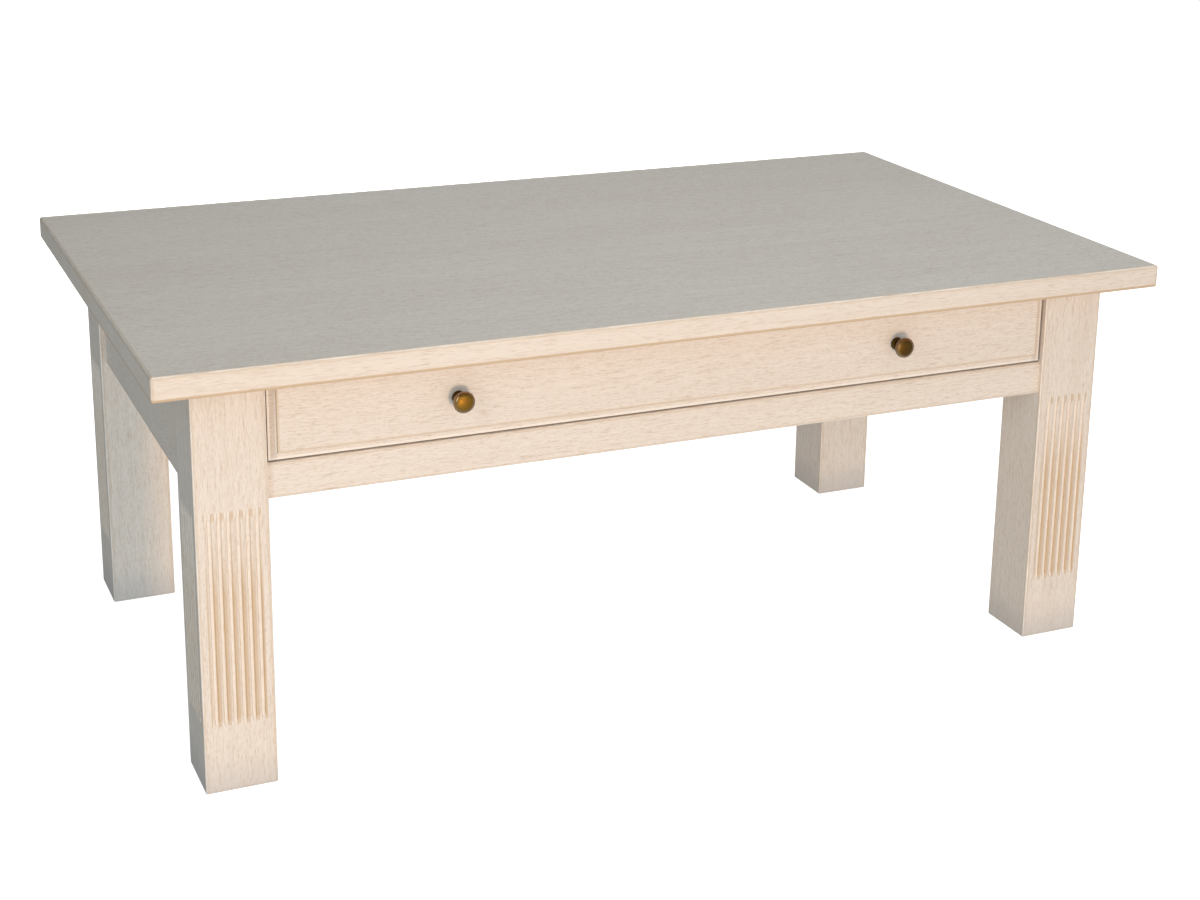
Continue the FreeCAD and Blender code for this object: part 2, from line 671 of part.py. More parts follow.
# Drawer front: a board raised to a flat field, with a quirk, a cove and a thin lip round all four sides.
front = doc.addObject("PartDesign::Body", "front_board")
front_sketch = sketch_on(front, "front_outline", "XZ_Plane")
rectangle(front_sketch, "place.front_half_width", "place.front_half_height")
extrude(front, "Pad", "front_blank", front_sketch, "size.drawer_front_thickness")


def edge_profile(edge):
    """The corners of what the cutter takes from an edge, and the centre of its round."""
    outside, inside = f"{edge} - size.overrun", f"{edge} + place.edge_width"
    lip = f"{edge} + size.lip_width"
    before = "-size.drawer_front_thickness - size.overrun"
    quirk = "size.quirk_depth - size.drawer_front_thickness"
    behind = "place.edge_depth - size.drawer_front_thickness"
    corners = [(outside, before), (inside, before), (inside, quirk), (lip, behind), (outside, behind)]
    return corners, (lip, quirk)


def edge_cut(name, role, edge, reach, swapped):
    """Run the edge cutter along one edge of the drawer front and mirror it to the opposite edge."""
    corners, centre = edge_profile(edge)
    if swapped:
        corners = [corner[::-1] for corner in corners]
        centre = centre[::-1]
    sketch = sketch_on(front, f"{name}_profile", role, z=f"{reach} + size.overrun")
    outline(sketch, corners, {2: (*centre, "size.cove_radius")})
    whole = front.Shape.Volume
    step = extrude(front, "Pocket", name, sketch, f"2 * ({reach} + size.overrun)")
    if not front.Shape.Volume < whole:
        raise RuntimeError(f"{name} has cut nothing")
    mirror(front, step, "YZ_Plane" if role == "XY_Plane" else "XY_Plane")


edge_cut("front_end_edge", "XY_Plane", "-place.front_half_width", "place.front_half_height", False)
edge_cut("front_long_edge", "YZ_Plane", "-place.front_half_height", "place.front_half_width", True)
put(front, ("0", "place.front_back_y", "place.front_middle_z"))
finish("drawer_front", cut("drawer_front", front, panel_groove, dowel_rooms, knob_rooms))

# Drawer box: sides behind the front, a back between them that stands on the bottom, both with eased upper
# edges, and the bottom in its groove.
BOX_Z = ("place.box_bottom", "place.box_top")
for side, sign in SIDES.items():
    side_x = across(sign, "place.box_inner_x", "place.front_half_width")
    blank = board(
        f"drawer_side_board_{side}",
        (side_x, ("place.front_back_y", "place.box_back_y"), BOX_Z),
        "size.drawer_side_arris",
        lambda edge, whole: edge.YLength > whole.YLength / 2 and edge.ZMin > whole.Center.z,
    )
    finish(f"drawer_side_{side}", cut(f"drawer_side_{side}", blank, panel_groove, dowel_rooms))
box_back_y = ("place.box_inner_y", "place.box_back_y")
box_back = board(
    "drawer_back_board",
    (both_ways("place.box_inner_x"), box_back_y, ("place.panel_top", "place.box_top")),
    "size.drawer_side_arris",
    lambda edge, whole: edge.XLength > whole.XLength / 2 and edge.ZMin > whole.Center.z,
)
finish("drawer_back", cut("drawer_back", box_back, dowel_rooms, pin_rooms))
finish("drawer_bottom", cut("drawer_bottom", block("drawer_panel", PANEL), pin_rooms))

# Knobs: turned, with a rounded foot, a drawn-in waist, and a head that flares from it to a soft rim round a
# slightly domed face.
KNOB_PROFILE = [
    ("0", "0"),
    ("size.knob_base_diameter / 2", "0"),
    ("size.knob_base_diameter / 2", "size.knob_base_thickness"),
    ("size.knob_shoulder_diameter / 2", "size.knob_base_thickness"),
    ("size.knob_shoulder_diameter / 2", "size.knob_neck_height"),
    ("place.knob_head_radius", "place.knob_rim_low"),
    ("place.knob_head_radius", "place.knob_rim_high"),
    ("0", "place.knob_projection"),
]
WAIST_CENTRE = (
    "size.knob_waist_diameter / 2 + place.knob_waist_radius",
    "size.knob_base_thickness + place.knob_waist_rise",
)
DOME_CENTRE = ("0", "place.knob_projection - place.knob_dome_radius")
KNOB_ARCS = {3: (*WAIST_CENTRE, "place.knob_waist_radius"), 6: (*DOME_CENTRE, "place.knob_dome_radius")}
for side, sign in SIDES.items():
    body = doc.addObject("PartDesign::Body", f"knob_turning_{side}")
    sketch = outline(sketch_on(body, f"knob_profile_{side}", "XZ_Plane"), KNOB_PROFILE, KNOB_ARCS)
    turned = turn_about_upright(body, "Revolution", f"knob_shape_{side}", sketch)
    wider_than_neck = value("(size.knob_base_diameter + size.knob_shoulder_diameter) / 2")
    foot_middle, neck_height = value("size.knob_base_thickness / 2"), value("size.knob_neck_height")
    rim_middle = value("(place.knob_rim_low + place.knob_rim_high) / 2")
    footed = round_over(
        body,
        turned,
        "size.knob_base_round",
        lambda edge, _: edge.YLength > wider_than_neck and foot_middle < edge.Center.z < neck_height,
    )
    rimmed = round_over(
        body,
        footed,
        "size.knob_rim_round",
        lambda edge, _: edge.YLength > wider_than_neck and neck_height < edge.Center.z < rim_middle,
    )
    round_over(
        body,
        rimmed,
        "size.knob_face_round",
        lambda edge, _: edge.YLength > wider_than_neck and edge.Center.z > rim_middle,
    )
    put(body, (f"{sign} * size.knob_spacing / 2", "place.front_field_y", "place.front_middle_z"), "front")
    finish(f"knob_{side}", cut(f"knob_{side}", body, knob_rooms))

doc.recompute()
for piece in doc.Objects:
    if "Invalid" in piece.State or "Error" in piece.State:
        raise RuntimeError(f"{piece.Label} failed: {piece.State}")
    if piece.TypeId == "Part::Cut" and not piece.Shape.Volume < piece.Base.Shape.Volume:
        raise RuntimeError(f"{piece.Label} has lost its recesses")
for label, piece in finished.items():
    if piece.Shape.isNull() or not piece.Shape.isValid():
        raise RuntimeError(f"{label} has no valid shape")

os.makedirs("parts", exist_ok=True)
for label, piece in finished.items():
    piece.Shape.exportStep(f"parts/{label}.step")
print(f"{len(finished)} pieces")
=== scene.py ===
"""Limed beech coffee table with fluted legs and one wide drawer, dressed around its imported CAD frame."""

import math

import bpy
from mathutils import Matrix, Vector


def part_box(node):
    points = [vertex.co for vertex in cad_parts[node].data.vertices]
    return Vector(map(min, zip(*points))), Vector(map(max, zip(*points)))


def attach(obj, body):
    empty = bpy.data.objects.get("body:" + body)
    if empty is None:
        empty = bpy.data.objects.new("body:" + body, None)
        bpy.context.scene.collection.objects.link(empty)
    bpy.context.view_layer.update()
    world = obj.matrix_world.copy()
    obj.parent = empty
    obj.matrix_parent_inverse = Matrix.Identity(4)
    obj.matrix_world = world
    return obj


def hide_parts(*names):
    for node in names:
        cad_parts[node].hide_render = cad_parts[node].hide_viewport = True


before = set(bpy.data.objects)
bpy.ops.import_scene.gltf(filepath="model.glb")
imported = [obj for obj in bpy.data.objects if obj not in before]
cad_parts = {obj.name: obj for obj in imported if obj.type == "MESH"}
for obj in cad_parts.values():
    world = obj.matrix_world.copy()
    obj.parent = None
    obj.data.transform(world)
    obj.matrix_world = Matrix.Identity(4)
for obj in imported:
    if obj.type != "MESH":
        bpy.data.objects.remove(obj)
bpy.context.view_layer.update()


# Table top: a slab of edge-glued beech staves, brushed open, limed white and waxed, with rounded arrises.
# Lime stays in the pores and a tan glaze beside the arrises, which handling wears pale. The pale is partly a
# painted highlight, and only the upper arris is painted pale. A tan band along the lower arris is painted
# shade.
# The slab's edges are plainer, with few flecks. Screws from below hold it to the stretcher, the kickers and
# the fixing blocks.
STAVE_WIDTH = 0.094
GRAIN_TURNS = {"X": (0, 0, 0), "Y": (0, 0, -math.pi / 2), "Z": (0, math.pi / 2, 0)}


def tint(red, green, blue):
    """A colour as a screen shows it, 0 to 255, turned into the linear colour that a shader takes."""
    shares = [level / 255 for level in (red, green, blue)]
    return [*(share / 12.92 if share < 0.04045 else ((share + 0.055) / 1.055) ** 2.4 for share in shares), 1]


LIMED_PALE = tint(231, 215, 199)
LIMED_TAN = tint(225, 207, 189)
STREAK_TAN = tint(198, 172, 148)
FLECK_BROWN = tint(182, 148, 116)
LIME_WHITE = tint(243, 236, 228)
GLAZE_AND_SHADE_TAN = tint(196, 158, 112)
WORN_AND_LIT_PALE = tint(246, 234, 220)
NEAR_FLOOR_GREY = tint(176, 170, 166)
SHADE_BROWN = tint(70, 52, 40)
GRAIN_RELIEF = 0.00006


class Finish:
    """The finish of a piece: one material, with short ways to add the nodes of its pattern."""

    def __init__(self, name):
        self.material = bpy.data.materials.new(name)
        self.material.use_nodes = True
        self.tree = self.material.node_tree
        self.place = self.add("ShaderNodeTexCoord", {}, "Object")

    def add(self, kind, fillings, output=0, **options):
        """Add a node, set its options, fill its inputs with values or links, and give one of its outputs."""
        made = self.tree.nodes.new(kind)
        for option, choice in options.items():
            setattr(made, option, choice)
        for socket, filling in fillings.items():
            self.fill(made, socket, filling)
        return made.outputs[output]

    def fill(self, node, socket, filling):
        """Set one input of a node to a value, or link it to another node's output."""
        if isinstance(filling, bpy.types.NodeSocket):
            self.tree.links.new(filling, node.inputs[socket])
        else:
            node.inputs[socket].default_value = filling

    def sum(self, step, *terms):
        """One step of arithmetic on numbers, such as ADD or MULTIPLY."""
        return self.add("ShaderNodeMath", dict(enumerate(terms)), operation=step)

    def vector(self, step, *terms, output="Vector"):
        """One step of arithmetic on vectors."""
        return self.add("ShaderNodeVectorMath", dict(enumerate(terms)), output, operation=step)

    def axis(self, vector, name):
        """The X, Y or Z of a vector."""
        return self.add("ShaderNodeSeparateXYZ", {"Vector": vector}, name)

    def fade(self, value, start, end):
        """0 at start, 1 at end, and smooth between them, whichever of the two is larger."""
        sockets = {"Value": value, "From Min": start, "From Max": end}
        return self.add("ShaderNodeMapRange", sockets, interpolation_type="SMOOTHSTEP")

    def clouds(self, place, stretch, detail=2):
        """Soft random patches, with so many to the metre along each axis."""
        sockets = {"Vector": self.vector("MULTIPLY", place, stretch), "Scale": 1, "Detail": detail}
        return self.add("ShaderNodeTexNoise", sockets, "Fac")

    def dashes(self, place, stretch, edge, core):
        """Short dashes, at most one in each cell, with so many cells to the metre along each axis."""
        sockets = {"Vector": self.vector("MULTIPLY", place, stretch), "Scale": 1}
        return self.fade(self.add("ShaderNodeTexVoronoi", sockets, "Distance"), edge, core)

    def mix(self, share, first, second):
        """The first colour where share is 0, the second where it is 1, and a blend between."""
        return self.add("ShaderNodeMix", {0: share, 6: first, 7: second}, 2, data_type="RGBA")

    def close(self, colour, roughness, height, relief, **more):
        """Lead the pattern into the shader, with relief as the depth in metres of its bumps."""
        normal = self.add("ShaderNodeBump", {"Height": height, "Distance": relief, "Strength": 1})
        shader = self.tree.nodes["Principled BSDF"]
        sockets = {"Base Color": colour, "Roughness": roughness, "Normal": normal, "Coat Normal": normal}
        sockets.update({name.replace("_", " "): filling for name, filling in more.items()})
        for socket, filling in sockets.items():
            self.fill(shader, socket, filling)
        return self.material


def from_arris(finish, piece):
    """How far a point is from the nearest arris of the piece's outer box."""
    lowest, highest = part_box(piece)
    off_middle = finish.vector("SUBTRACT", finish.place, (lowest + highest) / 2)
    room = finish.vector("SUBTRACT", (highest - lowest) / 2, finish.vector("ABSOLUTE", off_middle))
    x, y, z = (finish.axis(room, name) for name in "XYZ")
    nearest = finish.sum("MINIMUM", finish.sum("MINIMUM", x, y), z)
    farthest = finish.sum("MAXIMUM", finish.sum("MAXIMUM", x, y), z)
    total = finish.sum("ADD", finish.sum("ADD", x, y), z)
    return finish.sum("SUBTRACT", finish.sum("SUBTRACT", total, nearest), farthest)


def growth_rings(finish, board):
    """Tones of the yearly rings round the tree's heart, which lies along the first axis."""
    heart = finish.vector("LENGTH", finish.vector("MULTIPLY", board, (0, 1, 1)), output="Value")
    wander = finish.clouds(board, (1.7, 8, 8))
    sockets = {"W": finish.sum("MULTIPLY_ADD", wander, 0.035, heart), "Scale": 210, "Detail": 3}
    return finish.add("ShaderNodeTexNoise", sockets, "Fac", noise_dimensions="1D")


def sawn_board(finish, grain, plank):
    """Coordinates with the first axis along the wandering grain, from where in the tree the board grew."""
    sockets = {"Vector": finish.place, "Rotation": GRAIN_TURNS[grain], "Location": plank}
    straight = finish.add("ShaderNodeMapping", sockets)
    bends = {"Vector": finish.vector("MULTIPLY", straight, (5, 7, 7)), "Scale": 1, "Detail": 1}
    wander = finish.add("ShaderNodeTexNoise", bends, "Color")
    return finish.vector("MULTIPLY_ADD", wander, (0, 0.010, 0.010), straight)


def limed_beech(finish, board, glaze_and_shade, worn_and_lit, fleck_share=0.36, painted_shade=None):
    """Beech with brown flecks, limed pores, tan glaze with painted shade where given, and pale wood where it
    is worn or painted lit.

    It turns greyer towards the floor, and painted shade darkens it to brown where that share is given.
    """
    rings = growth_rings(finish, board)
    patches = finish.clouds(board, (2.2, 9, 9), 3)
    streaks = finish.clouds(board, (60, 760, 760), 3)
    flecks = finish.dashes(board, (125, 860, 860), 0.40, 0.10)
    pores = finish.dashes(board, (80, 1000, 1000), 0.40, 0.12)
    tone = finish.fade(finish.sum("ADD", rings, patches), 0.6, 1.5)
    colour = finish.mix(tone, LIMED_PALE, LIMED_TAN)
    colour = finish.mix(finish.fade(streaks, 0.46, 0.92), colour, STREAK_TAN)
    colour = finish.mix(finish.sum("MULTIPLY", flecks, fleck_share), colour, FLECK_BROWN)
    colour = finish.mix(finish.sum("MULTIPLY", pores, 0.4), colour, LIME_WHITE)
    # The glaze share also carries painted shade in edges, hollows and flutes.
    colour = finish.mix(glaze_and_shade, colour, GLAZE_AND_SHADE_TAN)
    # The pale share is wear and lime, with painted light where it is given.
    colour = finish.mix(worn_and_lit, colour, WORN_AND_LIT_PALE)
    # Greyer towards the floor, in the lowest few centimetres.
    above_floor = finish.sum("MULTIPLY_ADD", patches, 0.03, finish.axis(finish.place, "Z"))
    near_floor_share = finish.fade(above_floor, 0.070, 0.010)
    colour = finish.mix(finish.sum("MULTIPLY", near_floor_share, 0.48), colour, NEAR_FLOOR_GREY)
    # Painted shade: dark brown where shade falls.
    if painted_shade:
        colour = finish.mix(painted_shade, colour, SHADE_BROWN)
    roughness = finish.fade(finish.sum("ADD", streaks, pores), -2.4, 2.4)
    height = finish.sum("SUBTRACT", streaks, finish.sum("ADD", pores, flecks))
    return finish.close(colour, roughness, height, GRAIN_RELIEF)


def arris_wear_and_highlight(finish, piece):
    """Shares of glaze left beside the arrises, and of wear and painted highlight on the arrises themselves.
    """
    arris = from_arris(finish, piece)
    handled = finish.clouds(finish.place, (38, 38, 38), 3)
    edge = finish.sum("MULTIPLY_ADD", handled, 0.002, arris)
    # Pale arrises: partly handling wear, partly a painted highlight along the edges.
    worn_and_lit = finish.sum("MULTIPLY", finish.fade(edge, 0.0027, 0.0013), 0.75)
    line = finish.sum("MULTIPLY", finish.fade(edge, 0.0017, 0.0027), finish.fade(edge, 0.0056, 0.0031))
    return finish.sum("MULTIPLY", line, 0.28), worn_and_lit


def limed_board(piece, grain, plank):
    """Give one board of the table its own cut of limed beech."""
    finish = Finish(f"limed_beech_{piece}")
    material = limed_beech(finish, sawn_board(finish, grain, plank), *arris_wear_and_highlight(finish, piece))
    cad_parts[piece].material_slots[0].material = material


top_finish = Finish("limed_beech_table_top")
panel = sawn_board(top_finish, "X", (0.4, 0.0, -0.42))
stave = top_finish.sum("FLOOR", top_finish.sum("DIVIDE", top_finish.axis(panel, "Y"), STAVE_WIDTH))
stave_tree = top_finish.add("ShaderNodeTexWhiteNoise", {"W": stave}, "Color", noise_dimensions="1D")
staves = top_finish.vector("MULTIPLY_ADD", stave_tree, (3, 0.35, 0.12), panel)
top_glaze, top_worn_and_lit = arris_wear_and_highlight(top_finish, "table_top")
top_low, top_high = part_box("table_top")
above_underside = top_finish.sum("SUBTRACT", top_finish.axis(top_finish.place, "Z"), top_low.z)
# Painted shade: a tan band along the lower arris, where the rounded edge turns down from the light.
low_arris_shade = top_finish.sum("MULTIPLY", top_finish.fade(above_underside, 0.0044, 0.0030), 0.75)
# Pale only on the upper arris: partly wear, partly a painted highlight where the edge faces up.
upper_worn_and_lit = top_finish.sum("MULTIPLY", top_worn_and_lit, top_finish.fade(above_underside, 0.0040, 0.0055))
off_centre = top_finish.vector("ABSOLUTE", top_finish.place)
inside = top_finish.vector("SUBTRACT", (top_high.x, top_high.y, 0), off_centre)
from_rim = top_finish.sum("MINIMUM", top_finish.axis(inside, "X"), top_finish.axis(inside, "Y"))
on_rim = top_finish.fade(from_rim, 0.0014, 0.0004)
rim_flecks = top_finish.sum("MULTIPLY_ADD", on_rim, -0.45, 0.52)
rim_clouds = top_finish.sum("MULTIPLY", top_finish.clouds(staves, (3, 14, 14)), 0.15)
rim_glaze = top_finish.sum("MULTIPLY", on_rim, rim_clouds)
top_glaze_and_shade = top_finish.sum("MAXIMUM", top_finish.sum("ADD", top_glaze, rim_glaze), low_arris_shade)
top_material = limed_beech(top_finish, staves, top_glaze_and_shade, upper_worn_and_lit, rim_flecks)
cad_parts["table_top"].material_slots[0].material = top_material


# Legs: four square beech posts, limed like the top. Their two outward faces carry six stopped flutes each,
# with lime in the flutes and tan glaze on the lands between them. A thin dark line down each flute, a darker
# edge to each land and part of the tan at the flute tips are painted shade of the flute walls. The aprons and
# the rail are tenoned into their inner faces.
FLUTE_PITCH = 0.010
ROW_HALF = 0.030
ROW_LOW, ROW_HIGH = 0.080, 0.314


def fluted_leg(piece, plank):
    """Lime in the flutes and tan glaze on the lands and their tips, with painted shade in a thin line down
    each flute, along one edge of each land and at the tips.
    """
    finish = Finish(f"limed_beech_{piece}")
    glaze_and_shade, worn_and_lit = arris_wear_and_highlight(finish, piece)
    lowest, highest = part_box(piece)
    middle, half = (lowest + highest) / 2, (highest - lowest) / 2
    off_middle = finish.vector("SUBTRACT", finish.place, middle)
    height = finish.axis(finish.place, "Z")
    above_row_low = finish.fade(height, ROW_LOW - 0.005, ROW_LOW - 0.001)
    below_row_high = finish.fade(height, ROW_HIGH + 0.005, ROW_HIGH + 0.001)
    row_ends = finish.sum("MULTIPLY", above_row_low, below_row_high)
    tan_start = finish.fade(height, ROW_LOW, ROW_LOW + 0.01)
    low_down = finish.sum("MULTIPLY", tan_start, finish.fade(height, 0.30, 0.21))
    high_tips = finish.fade(height, ROW_HIGH - 0.009, ROW_HIGH - 0.003)
    low_tips = finish.fade(height, ROW_LOW + 0.009, ROW_LOW + 0.003)
    row_tips = finish.sum("MAXIMUM", high_tips, low_tips)
    for across, outward in (("X", "Y"), ("Y", "X")):
        side = "XYZ".index(outward)
        outwards = finish.sum("MULTIPLY", finish.axis(off_middle, outward), math.copysign(1, middle[side]))
        on_face = finish.fade(finish.sum("SUBTRACT", half[side], outwards), 0.0034, 0.0030)
        place = finish.axis(off_middle, across)
        in_row = finish.fade(finish.sum("ABSOLUTE", place), ROW_HALF + 0.0004, ROW_HALF - 0.0004)
        row = finish.sum("MULTIPLY", finish.sum("MULTIPLY", on_face, in_row), row_ends)
        strength = 1 if across == "X" else 0.3
        share = finish.sum("FRACT", finish.sum("ADD", finish.sum("DIVIDE", place, FLUTE_PITCH), 0.30))
        band = finish.sum("MULTIPLY", finish.fade(share, 0.0, 0.04), finish.fade(share, 0.46, 0.42))
        # Painted shade: a darker edge to each land and a thin dark line down each flute, where one wall turns
        # from the light.
        shaded_land_edge = finish.sum("MULTIPLY", finish.fade(share, 0.0, 0.04), finish.fade(share, 0.15, 0.09))
        shaded_wall_line = finish.fade(finish.sum("ABSOLUTE", finish.sum("SUBTRACT", share, 0.70)), 0.06, 0.03)
        band_tan = finish.sum("MULTIPLY", finish.sum("MULTIPLY", band, low_down), 0.6 * strength)
        land_edge_shade = finish.sum("MULTIPLY", shaded_land_edge, 0.34)
        painted_shade_lines = finish.sum("ADD", land_edge_shade, finish.sum("MULTIPLY", shaded_wall_line, 0.4))
        # The tan at the flute tips is glaze and painted shade of the run-outs.
        tip_glaze_and_shade = finish.sum("MULTIPLY", finish.sum("MULTIPLY", band, row_tips), 0.45)
        tan = finish.sum("ADD", band_tan, finish.sum("MULTIPLY", finish.sum("ADD", painted_shade_lines, tip_glaze_and_shade), strength))
        limed = finish.sum("MULTIPLY", row, finish.sum("SUBTRACT", 1, finish.sum("ADD", band, shaded_wall_line)))
        glaze_and_shade = finish.sum("MAXIMUM", glaze_and_shade, finish.sum("MULTIPLY", tan, row))
        worn_and_lit = finish.sum("MAXIMUM", worn_and_lit, finish.sum("MULTIPLY", limed, 0.26))
    material = limed_beech(finish, sawn_board(finish, "Z", plank), glaze_and_shade, worn_and_lit)
    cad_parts[piece].material_slots[0].material = material


fluted_leg("leg_front_left", (0.2, 0.16, -0.40))
fluted_leg("leg_front_right", (1.1, 0.12, 0.55))
fluted_leg("leg_back_left", (2.3, -0.14, -0.47))
fluted_leg("leg_back_right", (3.7, -0.19, 0.60))


# Aprons: boards that close the two sides and the back, set a little behind the legs' faces and tenoned into
# them. They have the same limed finish, with the grain along each board.
limed_board("side_apron_left", "Y", (0.6, 0.45, -0.2))
limed_board("side_apron_right", "Y", (1.9, -0.66, -0.3))
limed_board("back_apron", "X", (2.8, -0.2, -0.25))


# Front rail: a low limed board under the drawer, with all four long edges eased and its grain along it.
# Tenons hold it in the front legs.
limed_board("front_rail", "X", (3.9, 0.22, -0.55))


# Hidden frame: stretcher, kickers, runners, guides, stops and fixing blocks under the top. They are planed
# beech without any finish, glued, tongued or screwed in place, with darker patches from handling.
PLAIN_PALE = tint(220, 187, 150)
PLAIN_RING = tint(202, 163, 122)
PLAIN_STREAK = tint(181, 142, 103)
PLAIN_FLECK = tint(150, 105, 68)
HANDLED_TAN = tint(168, 134, 100)


def plain_beech(piece, grain, plank):
    """Planed beech with no finish: pinkish tan, with rings, fine streaks and brown flecks."""
    finish = Finish(f"plain_beech_{piece}")
    board = sawn_board(finish, grain, plank)
    rings = growth_rings(finish, board)
    streaks = finish.clouds(board, (11, 420, 420), 3)
    flecks = finish.dashes(board, (80, 330, 330), 0.38, 0.14)
    handled = finish.clouds(finish.place, (7, 7, 7), 3)
    colour = finish.mix(finish.fade(rings, 0.3, 0.75), PLAIN_PALE, PLAIN_RING)
    colour = finish.mix(finish.fade(streaks, 0.5, 0.95), colour, PLAIN_STREAK)
    colour = finish.mix(finish.sum("MULTIPLY", flecks, 0.65), colour, PLAIN_FLECK)
    colour = finish.mix(finish.fade(handled, 0.5, 1.1), colour, HANDLED_TAN)
    roughness = finish.fade(streaks, -1.6, 1.1)
    height = finish.sum("SUBTRACT", streaks, flecks)
    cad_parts[piece].material_slots[0].material = finish.close(colour, roughness, height, GRAIN_RELIEF)


plain_beech("front_stretcher", "X", (0.3, 0.1, -0.5))
for side, cut in (("left", 1.4), ("right", 2.6)):
    plain_beech(f"drawer_runner_{side}", "Y", (cut, -0.3, -0.2))
    plain_beech(f"drawer_guide_{side}", "Y", (cut + 0.4, 0.2, -0.3))
    plain_beech(f"kicker_{side}", "Y", (cut + 0.8, -0.2, -0.6))
    plain_beech(f"drawer_stop_{side}", "X", (cut + 1.2, 0.1, -0.2))
for position, cut in (("left", 4.2), ("middle", 4.9), ("right", 5.7)):
    plain_beech(f"fixing_block_{position}", "X", (cut, -0.1, -0.3))


# Frame screws: countersunk zinc-plated wood screws with a cross recess. They go up through the stretcher and
# kickers and through the blocks into the top, back through the blocks, and down through the guides.
SCREW_HEAD = 0.008
SCREW_SHANK = 0.004
TOP_SCREW_LENGTH = 0.028
GUIDE_SCREW_LENGTH = 0.044
BLOCK_SCREW_LENGTH = 0.039
SHARP_CORNER = 0.5
ZINC_GREY = tint(176, 178, 180)
ZINC_YELLOW = tint(190, 181, 152)


def zinc_plate():
    """Zinc-plated steel: bluish grey with a yellow cast in patches and fine scratches."""
    finish = Finish("zinc_plated_steel")
    cast = finish.clouds(finish.place, (160, 160, 160), 3)
    scratches = finish.clouds(finish.place, (500, 2600, 900), 2)
    colour = finish.mix(finish.fade(cast, 0.35, 0.7), ZINC_GREY, ZINC_YELLOW)
    roughness = finish.fade(scratches, -0.3, 1.9)
    return finish.close(colour, roughness, scratches, 0.00003, Metallic=1)


steel = zinc_plate()


def screw_tree():
    """A screw on each point, with a head, a cross recess and a pointed shank, turned along its aim.

    The Boolean nodes' default solver leaves these meshes open, and loses the heads of the frame screws.
    """
    tree = bpy.data.node_groups.new("driven_screws", "GeometryNodeTree")
    sockets = tree.interface
    sockets.new_socket("Places", in_out="INPUT", socket_type="NodeSocketGeometry")
    head_names = ("Face width", "Neck width", "Head height", "Head lift")
    for name in (*head_names, "Shank width", "Length", "Recess width"):
        sockets.new_socket(name, in_out="INPUT", socket_type="NodeSocketFloat")
    sockets.new_socket("Metal", in_out="INPUT", socket_type="NodeSocketMaterial")
    sockets.new_socket("Screws", in_out="OUTPUT", socket_type="NodeSocketGeometry")

    def add(kind, fillings, output=0, **options):
        """Add a node and fill its inputs, where a list puts several links into one input."""
        made = tree.nodes.new(kind)
        for option, choice in options.items():
            setattr(made, option, choice)
        for socket, filling in fillings.items():
            for link in filling if isinstance(filling, list) else [filling]:
                if isinstance(link, bpy.types.NodeSocket):
                    tree.links.new(link, made.inputs[socket])
                else:
                    made.inputs[socket].default_value = link
        return made.outputs[output]

    def share(value, factor):
        """A size times a factor."""
        return add("ShaderNodeMath", {0: value, 1: factor}, operation="MULTIPLY")

    def moved(mesh, height):
        """A mesh moved along the screw's axis."""
        up = add("ShaderNodeCombineXYZ", {"Z": height})
        return add("GeometryNodeTransform", {"Geometry": mesh, "Translation": up})

    wanted = tree.nodes.new("NodeGroupInput").outputs
    face, neck = share(wanted["Face width"], 0.5), share(wanted["Neck width"], 0.5)
    radius, length, lift = share(wanted["Shank width"], 0.5), wanted["Length"], wanted["Head lift"]
    head_sizes = {"Vertices": 32, "Radius Bottom": face, "Radius Top": neck, "Depth": wanted["Head height"]}
    head = moved(add("GeometryNodeMeshCone", head_sizes), share(lift, -1))
    stem_sizes = {"Vertices": 24, "Radius Bottom": radius, "Radius Top": radius, "Depth": share(length, 0.8)}
    stem = add("GeometryNodeMeshCone", stem_sizes)
    tip_sizes = {"Vertices": 24, "Radius Bottom": radius, "Radius Top": share(radius, 0.25)}
    tip_sizes["Depth"] = share(length, 0.2)
    tip = moved(add("GeometryNodeMeshCone", tip_sizes), share(length, 0.8))
    bars = []
    for first, second in (("X", "Y"), ("Y", "X")):
        bar_sizes = {first: wanted["Recess width"], second: share(wanted["Recess width"], 0.24), "Z": face}
        bar = add("GeometryNodeMeshCube", {"Size": add("ShaderNodeCombineXYZ", bar_sizes)})
        bars.append(moved(bar, share(lift, -1)))
    driven = add("GeometryNodeMeshBoolean", {"Mesh 2": [head, stem, tip]}, operation="UNION")
    recessed = add("GeometryNodeMeshBoolean", {"Mesh 1": driven, "Mesh 2": bars}, operation="DIFFERENCE")
    rounded = add("GeometryNodeSetShadeSmooth", {"Geometry": recessed, "Shade Smooth": True})
    corner = add("GeometryNodeInputMeshEdgeAngle", {})
    sharp = add("ShaderNodeMath", {0: corner, 1: SHARP_CORNER}, operation="GREATER_THAN")
    creased_sockets = {"Geometry": rounded, "Selection": sharp, "Shade Smooth": False}
    creased = add("GeometryNodeSetShadeSmooth", creased_sockets, domain="EDGE")
    aim = add("GeometryNodeInputNamedAttribute", {"Name": "aim"}, data_type="FLOAT_VECTOR")
    turn = add("FunctionNodeAlignRotationToVector", {"Vector": aim}, axis="Z")
    set_out_sockets = {"Points": wanted["Places"], "Instance": creased, "Rotation": turn}
    set_out = add("GeometryNodeInstanceOnPoints", set_out_sockets)
    real = add("GeometryNodeRealizeInstances", {"Geometry": set_out})
    plated = add("GeometryNodeSetMaterial", {"Geometry": real, "Material": wanted["Metal"]})
    tree.links.new(plated, tree.nodes.new("NodeGroupOutput").inputs["Screws"])
    return tree


driven_screws = screw_tree()


